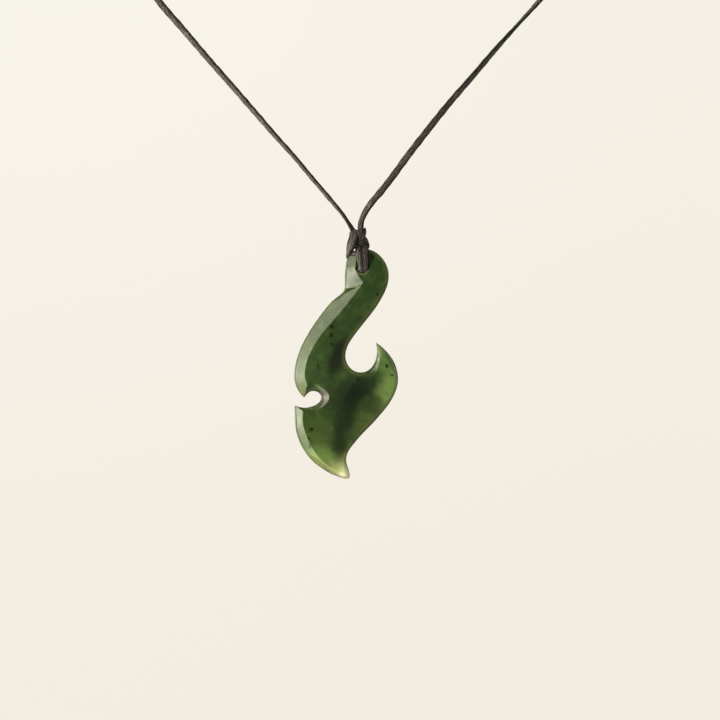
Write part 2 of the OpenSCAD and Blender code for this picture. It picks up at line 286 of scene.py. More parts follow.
# Down the front, through the hole and up the back, left then right
FRONT_LEFT = [
    (1.5, -1.5, -154.5, 1.4, 0.9, -0.1, -0.8, 0.5),
    (1.4, -2.45, -155.6, 1.7, 0.9, -0.2, -0.85, 0.4),
    (1.38, -3.0, -156.6, 1.78, 0.92, -0.3, -1, 0.05),
    (1.54, -3.1, -157.7, 1.68, 0.94, -0.35, -1, 0),
    (1.76, -3.12, -158.8, 1.56, 0.94, -0.35, -1, -0.05),
    (1.86, -3.05, -159.7, 1.46, 0.92, -0.35, -0.9, -0.3),
    (1.84, -2.7, -160.4, 1.45, 0.9, -0.4, -0.6, -0.7),
    (1.64, -1.8, -160.7, 1.8, 0.9, -0.62, -0.1, -0.78),
    (1.6, 0, -160.68, 1.9, 0.9, -0.64, 0, -0.77),
]
FRONT_RIGHT = [
    (2.8, -1.5, -154.5, 1.4, 0.9, 0.1, -0.8, 0.5),
    (2.92, -2.45, -155.6, 1.7, 0.9, 0.2, -0.85, 0.4),
    (2.96, -3.06, -156.6, 1.7, 0.92, 0.3, -1, 0.05),
    (3.0, -3.16, -157.7, 1.62, 0.94, 0.35, -1, 0),
    (3.04, -3.16, -158.8, 1.5, 0.94, 0.35, -1, -0.05),
    (3.0, -3.06, -159.7, 1.38, 0.92, 0.35, -0.9, -0.3),
    (2.9, -2.7, -160.4, 1.4, 0.9, 0.4, -0.6, -0.7),
    (2.8, -1.8, -160.76, 1.6, 0.88, 0.52, -0.1, -0.85),
    (2.8, 0, -160.74, 1.7, 0.88, 0.56, 0, -0.83),
]
# At the back the strands lie wider and further apart, from this height and fully so a run below it
SPREAD_Z = -156.5
SPREAD_RUN = 3
SPREAD_APART = 0.8
SPREAD_WIDER = 0.3
lashing_rows = []
for front in (FRONT_LEFT, FRONT_RIGHT):
    back = []
    for x, y, z, w, t, nx, ny, nz in front[-2::-1]:
        spread = min(1.0, max(0.0, (SPREAD_Z - z) / SPREAD_RUN))
        x += SPREAD_APART * spread * (x - BORE[0])
        back.append((x, -y, z, w * (1 + SPREAD_WIDER * spread), t, nx, -ny, nz))
    lashing_rows.append(front + back)
lashing = strands("lashing_strands", lashing_rows, 0.7)

knot_strands = [
    # the two cords go on down into the knot and come out as the strands over the face
    [
        (-0.05, 0.0, -150.9, 1.5, 0.9, 0.5, -0.8, 0.3),
        (0.5, -0.6, -151.9, 1.6, 0.95, 0.2, -1, 0.2),
        (0.95, -1.3, -153.2, 1.6, 0.95, 0, -1, 0.2),
        (1.4, -1.7, -154.3, 1.5, 0.9, -0.1, -0.9, 0.4),
        (1.5, -1.6, -154.8, 1.4, 0.9, -0.1, -0.8, 0.5),
    ],
    [
        (1.8, 0.0, -150.5, 1.5, 0.9, -0.6, -0.8, 0),
        (1.95, -0.7, -151.7, 1.6, 0.95, 0, -1, 0.1),
        (2.2, -1.3, -153.0, 1.6, 0.95, 0.1, -1, 0.2),
        (2.7, -1.7, -154.2, 1.5, 0.9, 0.1, -0.9, 0.4),
        (2.8, -1.6, -154.8, 1.4, 0.9, 0.1, -0.8, 0.5),
    ],
    # the middle of the hood, between its two legs
    [
        (1.35, -1.3, -151.25, 1.5, 0.9, 0, -1, 0.4),
        (1.45, -2.05, -152.2, 1.7, 0.9, 0, -1, 0.3),
        (1.55, -2.3, -153.4, 1.9, 0.9, 0.05, -1, 0.05),
        (1.75, -2.05, -154.6, 1.7, 0.85, 0.1, -1, -0.2),
        (1.9, -1.3, -155.3, 1.5, 0.8, 0.1, -0.8, -0.6),
    ],
    # hood, left: from the top of the knot down over the left shoulder of the stone to its back
    [
        (0.75, -1.2, -151.2, 1.4, 0.9, -0.1, -1, 0.35),
        (0.5, -2.0, -152.15, 1.9, 0.95, -0.15, -1, 0.3),
        (0.15, -2.5, -153.2, 2.3, 0.95, -0.3, -1, 0.25),
        (-0.35, -2.65, -154.4, 2.35, 0.95, -0.45, -0.9, 0.2),
        (-0.85, -2.15, -155.7, 2.05, 0.95, -0.75, -0.65, 0.1),
        (-1.15, -1.0, -156.95, 1.6, 0.95, -0.95, -0.25, -0.1),
        (-1.2, 0.3, -157.4, 1.5, 0.95, -1, 0.1, -0.15),
        (-1.1, 1.6, -156.9, 1.4, 0.95, -0.8, 0.6, -0.1),
        (-0.75, 2.45, -155.8, 1.4, 0.95, -0.4, 0.9, 0.1),
        (0.0, 2.5, -154.7, 1.6, 0.95, -0.1, 1, 0.2),
        (1.0, 1.7, -153.5, 1.6, 0.95, 0, 1, 0.2),
        (1.1, 0.9, -152.2, 1.5, 0.9, 0, 1, 0.2),
    ],
    # hood, right
    [
        (1.75, -1.15, -151.1, 1.4, 0.9, 0.1, -1, 0.35),
        (2.0, -1.9, -152.0, 1.5, 0.95, 0.25, -1, 0.3),
        (2.4, -2.15, -152.9, 1.6, 0.95, 0.45, -0.9, 0.3),
        (3.05, -1.95, -153.8, 1.7, 0.95, 0.7, -0.7, 0.2),
        (3.5, -1.05, -154.55, 1.5, 0.95, 0.95, -0.3, 0.1),
        (3.55, 0.2, -154.8, 1.4, 0.95, 1, 0.1, 0.05),
        (3.3, 1.4, -154.6, 1.5, 0.95, 0.8, 0.6, 0.1),
        (2.65, 2.2, -154.1, 1.6, 0.95, 0.4, 0.9, 0.15),
        (2.0, 2.1, -153.2, 1.6, 0.95, 0.1, 1, 0.2),
        (1.7, 1.3, -152.1, 1.5, 0.9, 0, 1, 0.2),
    ],
    # from the foot of the left leg across the edge of the stone, behind the strands of the lashing
    [
        (-1.1, -0.5, -156.5, 1.2, 0.75, -0.8, -0.6, 0.2),
        (-0.6, -1.5, -156.6, 1.3, 0.75, -0.3, -1, 0.1),
        (0.2, -2.25, -156.68, 1.3, 0.75, 0, -1, 0.1),
        (1.2, -2.75, -156.8, 1.1, 0.75, 0.1, -1, 0),
        (2.2, -2.6, -156.85, 0.95, 0.7, 0.1, -1, 0),
    ],
    # the same strands up the back, from the lashing into the knot
    [
        (1.5, 1.6, -154.8, 1.4, 0.9, -0.1, 0.8, 0.5),
        (1.4, 1.1, -153.6, 1.5, 0.9, 0, 1, 0.2),
        (1.3, 0.5, -152.2, 1.5, 0.9, 0, 1, 0.1),
    ],
    [
        (2.8, 1.6, -154.8, 1.4, 0.9, 0.1, 0.8, 0.5),
        (2.3, 1.1, -153.6, 1.5, 0.9, 0, 1, 0.2),
        (1.9, 0.5, -152.2, 1.5, 0.9, 0, 1, 0.1),
    ],
]
# the turn round the top of the knot, higher and wider on the right
TURN_STEPS = 24
TURN_MIDDLE = (1.15, -152.1)
TURN_RADII = (1.68, 1.35)  # across and from front to back
TURN_RISE = 0.7
turn = []
for k in range(-1, TURN_STEPS + 2):
    a = 2 * math.pi * k / TURN_STEPS
    bulge = max(0.0, math.sin(a)) ** 4
    x, y = TURN_MIDDLE[0] + TURN_RADII[0] * math.sin(a), TURN_RADII[1] * math.cos(a)
    z = TURN_MIDDLE[1] + TURN_RISE * bulge
    turn.append((x, y, z, 1.45 + 0.5 * bulge, 0.9, math.sin(a), math.cos(a), 0.0))
knot_strands.append(turn)
knot = strands("hitch_knot", knot_strands, 0.9)

# The knot behind the neck: a coil round the two ends of the cord, which pass each other
CLOSING_LENGTH = 13.0
CLOSING_Z = 2.1
COIL_TURNS = 5
COIL_STEPS = 16  # a turn
COIL_SHORTER = 4.6  # than the knot
COIL_R = 1.55
CORE_Y, CORE_Z = 0.42, 0.12
coil = []
for k in range(COIL_TURNS * COIL_STEPS + 1):
    a = 2 * math.pi * k / COIL_STEPS
    x = (k / (COIL_TURNS * COIL_STEPS) - 0.5) * (CLOSING_LENGTH - COIL_SHORTER)
    y, z = -COIL_R * math.sin(a), CLOSING_Z + COIL_R * math.cos(a)
    coil.append((x, y, z, 1.72, 0.95, 0, -math.sin(a), math.cos(a)))
closing = [coil]
half = CLOSING_LENGTH / 2
for y, z in ((-CORE_Y, CORE_Z), (CORE_Y, -CORE_Z)):
    closing.append(
        [
            (-half, 0.15 * y, CLOSING_Z, 1.35, 0.86, 0, y, z),
            (-half + 1.3, 0.8 * y, CLOSING_Z + z, 1.3, 0.86, 0, y, z),
            (-half / 3, y, CLOSING_Z + z, 1.3, 0.86, 0, y, z),
            (half / 3, y, CLOSING_Z - z, 1.3, 0.86, 0, y, -z),
            (half - 1.3, 0.8 * y, CLOSING_Z - z, 1.3, 0.86, 0, y, -z),
            (half, 0.15 * y, CLOSING_Z, 1.35, 0.86, 0, y, -z),
        ]
    )
closing_knot = strands("closing_knot_braid", closing, 1.1)

# ---------------------------------------------------------------- stone
HOOK_H = 55.0  # mm
HOOK_W = 25.0
TAIL_T = 6.0
HEAD_T = 4.8
HOOK_X = -14.2  # the left and the foot of the stone
HOOK_Z = -210.6
RIM_EDGE = 0.2  # half the thickness of the rim
# The rim, as shares of the width and height, and its way in and out in degrees; the crease beside
# it; and how round the bevel is, from 0, flat, to 1. They are the CAD's rows, fitted closer to the
# photograph: two more rows at the left of the head make its lower corner crisper, up to 0.35 mm from
# the CAD's; the tail's tip lies 0.3 mm from it, and the inner sides of the tail and the barb 0.1 mm.
# Then half the thickness of the stone inside the rim's own steep chamfer, and how far in that
# reaches, in mm
RIM = [
    [0.513, 0.963, 203, 265, 0.600, 0.9740, 0.0, 1.75, 0.2],
    [0.499, 0.930, 267, 267, 0.598, 0.9330, 0.0, 1.67, 0.2],
    [0.490, 0.884, 269, 269, 0.598, 0.9044, 0.0, 1.1, 0.2],
    [0.488, 0.8275, 266, 250, 0.6665, 0.8550, 0.0, 0.5, 0.2],
    [0.470, 0.8125, 232, 228, 0.6665, 0.8520, 0.0, 0.55, 0.2],
    [0.348, 0.764, 229, 229, 0.452, 0.725, 0.0, 0.55, 0.2],
    [0.160, 0.648, 238, 238, 0.255, 0.620, 0.0, 0.55, 0.2],
    [0.043, 0.541, 251, 251, 0.140, 0.528, 0.0, 0.55, 0.2],
    [0.004, 0.443, 270, 270, 0.104, 0.452, 0.0, 0.55, 0.2],
    [0.098, 0.352, 316, 52, 0.127, 0.406, 0.0, 0.6, 0.2],
    [0.185, 0.381, 358, 358, 0.212, 0.410, 0.0, 1.7, 0.5],
    [0.263, 0.353, 270, 270, 0.338, 0.356, 0.0, 1.6, 0.5],
    [0.176, 0.314, 200, 200, 0.221, 0.298, 0.0, 1.75, 0.5],
    [0.010, 0.319, 152, 268, 0.086, 0.295, 0.0, 0.6, 0.2],
    [0.013, 0.238, 272, 272, 0.087, 0.238, 0.0, 0.55, 0.2],
    [0.067, 0.148, 296, 296, 0.146, 0.159, 0.0, 0.55, 0.2],
    [0.216, 0.061, 322, 322, 0.255, 0.085, 0.2, 0.6, 0.2],
    [0.399, 0.012, 340, 340, 0.403, 0.036, 0.6, 1.2, 0.1],
    [0.531, 0.001, 20, 70, 0.495, 0.020, 0.6, 1.2, 0.1],
    [0.503, 0.083, 88, 88, 0.480, 0.083, 1.0, 1.5, 0.1],
    [0.608, 0.168, 51, 51, 0.586, 0.177, 1.0, 1.5, 0.1],
    [0.788, 0.255, 49, 49, 0.766, 0.264, 1.0, 1.5, 0.1],
    [0.958, 0.359, 64, 64, 0.929, 0.365, 1.0, 1.5, 0.1],
    [1.001, 0.437, 92, 92, 0.969, 0.437, 1.0, 1.5, 0.1],
    [0.928, 0.533, 127, 127, 0.907, 0.511, 0.6, 1.2, 0.1],
    [0.787, 0.592, 152, 287, 0.878, 0.502, 0.0, 1.3, 0.5],
    [0.800, 0.548, 266, 266, 0.852, 0.489, 0.0, 1.9, 0.5],
    [0.646, 0.462, 181, 181, 0.649, 0.449, 1.0, 1.5, 0.1],
    [0.496, 0.533, 91, 91, 0.468, 0.531, 1.0, 1.5, 0.1],
    [0.611, 0.642, 53, 53, 0.588, 0.650, 1.0, 1.5, 0.1],
    [0.810, 0.761, 58, 58, 0.785, 0.768, 1.0, 1.5, 0.1],
    [0.912, 0.886, 91, 91, 0.882, 0.886, 1.0, 1.5, 0.1],
    [0.827, 0.972, 136, 136, 0.807, 0.962, 1.0, 1.5, 0.1],
    [0.697, 1.000, 180, 203, 0.692, 0.988, 1.0, 1.5, 0.1],
]
CORNER_TURN = 15  # degrees from which a row is a corner
RIM_STEP = 0.2
FILLET = 0.2  # round the rim's edge, and at most this share of the bevel's width
FILLET_ANGLES = [0, 30, 60, 90]
CHAMFER_SHARE = 0.3  # at most, of the bevel's width
SOFTEN = 0.13  # how far each side of the crease it is rounded, and at most what share of the bevel
SOFTEN_SHARE = 0.15
BEVEL_ROWS = (0.04, 0.1, 0.18, 0.28, 0.4, 0.52, 0.64, 0.75, 0.85)  # shares of the bevel
CREASE_ROWS = (1, 0.66, 0.33, 0)  # shares of the rounding that are left before the crease
PILLOW = 0.10  # how far the flat face swells, and over what distance
PILLOW_RUN = 2.2
FACE_GRID = 0.36  # between the points on the flat face
RINGS = ((0, 0.07), (1, 0.14))  # the first points inside the crease, in turn nearer and further
GRID_CLEAR, RING_CLEAR = 0.24, 0.06  # the least distance from the crease


def toward(degrees):
    """The unit vector at an angle from +X."""
    a = math.radians(degrees)
    return np.array([math.cos(a), math.sin(a)])


def cubic(a, c, d, b, t):
    """A Bezier curve from a to b."""
    t = t[:, None]
    return (1 - t) ** 3 * a + 3 * (1 - t) ** 2 * t * c + 3 * (1 - t) * t**2 * d + t**3 * b


def rim_lines():
    """Rim, crease, crown, edge and chamfer, every RIM_STEP or so right round the stone."""
    n = len(RIM)
    size = np.array([HOOK_W, HOOK_H])
    rim_at = [np.array(r[0:2]) * size for r in RIM]
    crease_at = [np.array(r[4:6]) * size for r in RIM]
    corner = [abs(r[3] - r[2]) > CORNER_TURN for r in RIM]
    rows = []
    for i in range(n):
        j = (i + 1) % n
        a, b = rim_at[i], rim_at[j]
        bend = abs((RIM[j][2] - RIM[i][3] + 180) % 360 - 180)
        reach = np.linalg.norm(b - a) / (3 * math.cos(math.radians(bend / 4)) ** 2)
        ca, cb = crease_at[i], crease_at[j]
        chord = unit(cb - ca)
        way_a = chord if corner[i] else unit(crease_at[j] - crease_at[i - 1])
        way_b = chord if corner[j] else unit(crease_at[(j + 1) % n] - ca)
        gap = np.linalg.norm(cb - ca) / 3
        count = max(3, int(math.ceil(np.linalg.norm(b - a) / RIM_STEP)))
        t = np.arange(count) / count
        rim = cubic(a, a + reach * toward(RIM[i][3]), b - reach * toward(RIM[j][2]), b, t)
        crease = cubic(ca, ca + gap * way_a, cb - gap * way_b, cb, t)
        rest = [np.array(RIM[i][k]) * (1 - t) + RIM[j][k] * t for k in (6, 7, 8)]
        rows.append(np.column_stack([rim, crease, *rest]))
    return np.concatenate(rows)


def face_y(z):
    """Half the thickness of the stone at a height above its foot."""
    return (TAIL_T + (HEAD_T - TAIL_T) * z / HOOK_H) / 2


def bevel(line):
    """Rows of the bevel from the rim to the crease, as how far in and how high each one is, then
    its width, how far the crease is rounded, and its slope at the crease."""
    rim, crease = line[:, 0:2], line[:, 2:4]
    crown, edge, chamfer = line[:, 4:5], line[:, 5:6], line[:, 6:7]
    width = np.linalg.norm(crease - rim, axis=1, keepdims=True)
    top = face_y(crease[:, 1:2])
    fillet = np.minimum(FILLET, FILLET * width)
    soft = np.minimum(SOFTEN, SOFTEN_SHARE * width)
    slope = (1 - crown) * (top - edge) / (width - fillet)
    chamfer = np.minimum(chamfer, CHAMFER_SHARE * width)

    inset, rise = [], []
    for a in np.radians(FILLET_ANGLES):
        inset.append(fillet * (1 - math.cos(a)))
        rise.append(RIM_EDGE - fillet + fillet * math.sin(a))
    rows = [np.minimum(fillet + (width - fillet) * share, width - soft * 1.15) for share in BEVEL_ROWS]
    rows += [width - share * soft for share in CREASE_ROWS]
    for d in rows:
        u = (d - fillet) / (width - fillet)
        up = (1 - crown) * u + crown * np.sin(u * math.pi / 2)
        y = RIM_EDGE + (edge - RIM_EDGE) * np.clip((d - fillet) / chamfer, 0, 1) + (top - edge) * up
        left = np.maximum(soft - (width - d), 0)
        inset.append(d)
        rise.append(y - slope * left**2 / (4 * soft))
    return np.concatenate(inset, 1), np.concatenate(rise, 1), width, soft, slope


def fill(crease):
    """Triangles inside the crease. Gives the points that they add, how far each one is from the
    crease and the crease's nearest point, then every corner as where it comes from and its number
    there, and the triangles."""
    n = len(crease)
    following = np.roll(crease, -1, axis=0)
    inward = unit(np.stack([-(following - crease)[:, 1], (following - crease)[:, 0]], 1))
    lo, hi = crease.min(0), crease.max(0)
    row_gap = FACE_GRID * 0.866
    grid = [
        (lo[0] + FACE_GRID * (c + 0.5 * (r % 2)), lo[1] + row_gap * r)
        for r in range(int((hi[1] - lo[1]) / row_gap) + 1)
        for c in range(int((hi[0] - lo[0]) / FACE_GRID) + 1)
    ]
    rings = [crease[k::2] + inward[k::2] * r for k, r in RINGS]
    loose = np.concatenate([np.array(grid), *rings])
    near, which = nearest(loose, crease)
    clear = np.where(np.arange(len(loose)) < len(grid), GRID_CLEAR, RING_CLEAR)
    keep = inside(loose, crease) & (near > clear)
    loose, near, which = loose[keep], near[keep], which[keep]
    everything = [Vector(p) for p in np.concatenate([crease, loose])]
    got = delaunay_2d_cdt(everything, [], [list(range(n))], 1, 1e-7)
    out_faces, from_input = got[2], got[3]
    corners, extra = [], []
    for source in from_input:
        source = [s for s in source if s < len(everything)]
        if source and source[0] < n:
            corners.append(("rim", source[0]))
        else:
            corners.append(("loose", len(extra)))
            extra.append(source[0] - n if source else -1)
    assert min(extra) >= 0, "the flat face's outline crosses itself"
    return loose[extra], near[extra], which[extra], corners, out_faces


def stone_mesh():
    """The whole stone without its hole, as points, faces and how deep in from the rim each point is."""
    line = rim_lines()
    rim, crease = line[:, 0:2], line[:, 2:4]
    inset, rise, width, soft, slope = bevel(line)
    share = (inset / width)[:, :, None]
    flat = rim[:, None] * (1 - share) + crease[:, None] * share
    front = np.stack([flat[..., 0], -rise, flat[..., 1]], -1)
    back = front * [1, -1, 1]
    strip = np.concatenate([back[:, ::-1], front], 1)
    n, m = strip.shape[:2]
    a = np.arange(n)[:, None] * m + np.arange(m - 1)[None]
    b = (np.arange(n)[:, None] + 1) % n * m + np.arange(m - 1)[None]
    faces = np.stack([a, b, b + 1, a + 1], -1).reshape(-1, 4).tolist()

    # the flat face, inside the crease
    place, near, which, corners, triangles = fill(crease)
    left = np.maximum(soft[which, 0] - near, 0)
    y = face_y(place[:, 1]) + PILLOW * (1 - np.exp(-near / PILLOW_RUN))
    y -= slope[which, 0] * left**2 / (4 * soft[which, 0])
    points = [strip.reshape(-1, 3)]
    base = n * m
    for side, last in ((-1, m - 1), (1, 0)):
        points.append(np.stack([place[:, 0], side * y, place[:, 1]], 1))
        lookup = [k * m + last if kind == "rim" else base + k for kind, k in corners]
        for f in triangles:
            g = [lookup[k] for k in f]
            faces.append(g if side == -1 else g[::-1])
        base += len(place)
    points = np.concatenate(points) + [HOOK_X, 0, HOOK_Z]
    deep = np.concatenate([inset[:, ::-1], inset], 1).reshape(-1)
    deep = np.concatenate([deep, *[near + width[which, 0]] * 2])
    return points, faces, np.stack([deep, points[:, 1]], 1)


def nearest(points, line):
    """Distance from each point to a closed line, and the line's nearest point."""
    best, which = np.full(len(points), 1e9), np.zeros(len(points), int)
    ahead = np.roll(line, -1, axis=0) - line
    size2 = (ahead**2).sum(1)
    for k in range(0, len(points), 500):
        rel = points[k : k + 500, None] - line[None]
        t = np.clip((rel * ahead).sum(2) / size2, 0, 1)
        d = np.linalg.norm(rel - t[..., None] * ahead, axis=2)
        which[k : k + 500] = d.argmin(1)
        best[k : k + 500] = d.min(1)
    return best, which


def inside(points, line):
    """Which points lie inside a closed line."""
    x, z = points[:, :1], points[:, 1:]
    ax, az = line.T
    bx, bz = np.roll(line, -1, axis=0).T
    at = (bx - ax) * (z - az) / np.where(bz == az, 1e-12, bz - az) + ax
    crosses = ((az > z) != (bz > z)) & (x < at)
    return crosses.sum(1) % 2 == 1


stone = mesh_object("hook_stone", *stone_mesh())

# the hole, with a rounded mouth on each face
FACE_IN = 2.45  # half the thickness of the stone there
BORE_R = 1.5
MOUTH_ROUND = 0.32
MOUTH_R = 1.95  # of the cutter, outside the stone
BORE_SIDES = 96
profile = [(BORE_R, 0.0)]
for a in np.radians([0, 22, 45, 68, 90]):
    profile.append(
        (BORE_R + MOUTH_ROUND * (1 - math.cos(a)), FACE_IN - MOUTH_ROUND + MOUTH_ROUND * math.sin(a))
    )
profile += [(MOUTH_R, FACE_IN + 0.12), (MOUTH_R, FACE_IN + 1.5)]
profile = [(r, -y) for r, y in profile[:0:-1]] + profile[1:]
cut_points, cut_faces = [], []
for r, y in profile:
    for k in range(BORE_SIDES):
        a = 2 * math.pi * k / BORE_SIDES
        cut_points.append((BORE[0] + r * math.cos(a), y, BORE[1] + r * math.sin(a)))
for i in range(len(profile) - 1):
    here, there = i * BORE_SIDES, (i + 1) * BORE_SIDES
    for k in range(BORE_SIDES):
        j = (k + 1) % BORE_SIDES
        cut_faces.append([here + k, there + k, there + j, here + j])
cut_faces.append(list(range(BORE_SIDES)))
cut_faces.append(list(range(len(profile) * BORE_SIDES - 1, (len(profile) - 1) * BORE_SIDES - 1, -1)))
inside_deep = np.full((len(cut_points), 2), 5.0)  # the bore counts as far in from the rim
cutter = mesh_object("hole_cutter", cut_points, cut_faces, inside_deep)
hole = stone.modifiers.new("hole", "BOOLEAN")
hole.operation, hole.object, hole.solver = "DIFFERENCE", cutter, "MANIFOLD"
bpy.context.view_layer.objects.active = stone
bpy.context.view_layer.update()
bpy.ops.object.modifier_apply(modifier="hole")
bpy.data.objects.remove(cutter)
SHARP = math.radians(38)
stone.data.set_sharp_from_angle(angle=SHARP)


# ---------------------------------------------------------------- materials
class Shader:
    """A material's nodes, with a short way to add one and link its inputs."""

    def __init__(self, name):
        self.material = bpy.data.materials.new(name)
        self.material.use_nodes = True
        self.tree = self.material.node_tree
        self.tree.nodes.clear()

    def add(self, kind, inputs=(), **settings):
        node = self.tree.nodes.new("ShaderNode" + kind)
        for key, value in settings.items():
            setattr(node, key, value)
        for key, value in dict(inputs).items():
            if isinstance(value, bpy.types.NodeSocket):
                self.tree.links.new(value, node.inputs[key])
            else:
                node.inputs[key].default_value = value
        return node

    def math(self, operation, a, b=0.0, c=0.0, clamp=False):
        return self.add("Math", {0: a, 1: b, 2: c}, operation=operation, use_clamp=clamp).outputs[0]

    def mix(self, share, a, b, blend="MIX"):
        node = self.add("Mix", data_type="RGBA", blend_type=blend)
        for key, value in ((0, share), (6, a), (7, b)):
            if isinstance(value, bpy.types.NodeSocket):
                self.tree.links.new(value, node.inputs[key])
            else:
                node.inputs[key].default_value = value
        return node.outputs[2]

    def ramp(self, value, low, high, out_low=0.0, out_high=1.0):
        return self.add(
            "MapRange",
            {"Value": value, "From Min": low, "From Max": high, "To Min": out_low, "To Max": out_high},
            interpolation_type="SMOOTHSTEP",
        ).outputs[0]

    def finish(self, **inputs):
        """Ends the nodes with a Principled surface, and gives the material."""
        names = {k.replace("_", " "): v for k, v in inputs.items()}
        surface = self.add("BsdfPrincipled", names)
        self.add("OutputMaterial", {"Surface": surface.outputs[0]})
        return self.material


def srgb(r, g, b):
    """A colour as it looks, from 0 to 255, as Blender's linear values."""
    linear = [((c / 255 + 0.055) / 1.055) ** 2.4 if c > 10 else c / 255 / 12.92 for c in (r, g, b)]
    return (*linear, 1.0)


# Broad patches in the stone, the lighter ones first, and the painted glow at the tail's tip: x, z,
# half width and half height in mm, lean in degrees, colour and share
PALE_PATCHES_AND_GLOW = [
    (4.5, -163.0, 6.5, 7.0, 0, srgb(52, 76, 38), 0.85),
    (0.5, -171.0, 7.0, 8.0, 40, srgb(57, 76, 41), 0.8),
    (-8.0, -183.0, 6.5, 8.5, 20, srgb(68, 90, 52), 0.75),
    (8.4, -183.0, 4.8, 9.0, -20, srgb(104, 135, 78), 0.9),
    (9.6, -188.8, 4.8, 9.0, 32, srgb(130, 157, 90), 0.95),
    (-8.5, -200.0, 5.5, 7.5, -10, srgb(81, 100, 50), 0.85),
    (2.5, -197.5, 5.0, 3.4, -45, srgb(85, 98, 56), 0.8),
    (-5.0, -206.5, 9.0, 4.5, 25, srgb(132, 160, 88), 0.85),
    # these two are painted light: the glow of light coming through the stone at the tail's tip
    (-0.7, -209.0, 6.4, 5.6, 20, srgb(198, 206, 145), 1.0),
    (-0.6, -210.4, 3.6, 3.7, 20, srgb(255, 250, 214), 1.0),
    (-7.2, -207.6, 7.5, 1.5, 38, srgb(144, 136, 100), 0.55),
    (-12.2, -188.2, 2.0, 4.2, 0, srgb(98, 112, 64), 0.7),
    (5.6, -178.6, 2.4, 3.6, -25, srgb(172, 176, 128), 0.8),
]
DARK_CLOUDS = [
    (-3.4, -181.2, 3.4, 8.0, 24, srgb(32, 42, 28), 0.9),
    (-1.0, -190.6, 9.5, 6.0, -36, srgb(42, 56, 34), 0.7),
    (1.6, -189.6, 6.5, 3.2, -38, srgb(36, 48, 29), 0.8),
    (-0.2, -191.4, 4.4, 3.0, -46, srgb(30, 40, 23), 0.9),
    (-1.6, -196.8, 6.4, 3.2, -62, srgb(36, 48, 28), 0.85),
    (-3.2, -202.8, 3.0, 6.0, 6, srgb(42, 54, 32), 0.8),
    (4.8, -192.6, 3.0, 3.0, 0, srgb(58, 68, 40), 0.6),
]
# Small dark inclusions, in the same way
INCLUSIONS = [
    (-8.4, -183.5, 0.5, 0.75, -25), (-8.0, -184.3, 0.3, 0.4, 0), (8.1, -183.5, 0.5, 0.7, 0),
    (9.35, -185.8, 0.6, 0.5, 0), (1.2, -187.0, 0.6, 0.5, 0), (-9.9, -198.7, 0.75, 0.5, -20),
    (-10.5, -199.3, 0.35, 0.3, 0), (-10.4, -196.0, 0.32, 0.32, 0), (-10.5, -200.9, 0.3, 0.35, 0),
    (-10.3, -202.9, 0.45, 0.9, 15), (-5.0, -174.2, 0.5, 0.7, 0), (-5.1, -176.2, 0.7, 1.0, 20),
    (5.0, -157.4, 0.45, 0.8, 10), (6.8, -158.7, 0.4, 0.35, 0), (0.3, -201.4, 0.5, 0.5, 0),
    (5.8, -166.5, 0.7, 0.5, 40), (-5.0, -178.4, 0.4, 0.6, 0),
]
# Edges in the stone, and the line of a painted highlight inside the barb, as curves of x, in mm, from
# the highest power down
SHOULDER_CURVE = (-0.0381, 0.4552, -165.387)  # the foot of the facet in the shoulder
SHOULDER_LINE = (0.0721, -164.96)  # its top
SHOULDER_LIFT = 1.4  # mm that it rises for each mm above its foot
BARB_LINE_X = 6.4  # where the painted highlight inside the barb bulges most
BARB_LINE_Z = -180.5
BARB_LINE_BEND = -0.049  # how it bends back, times the square of the height from there


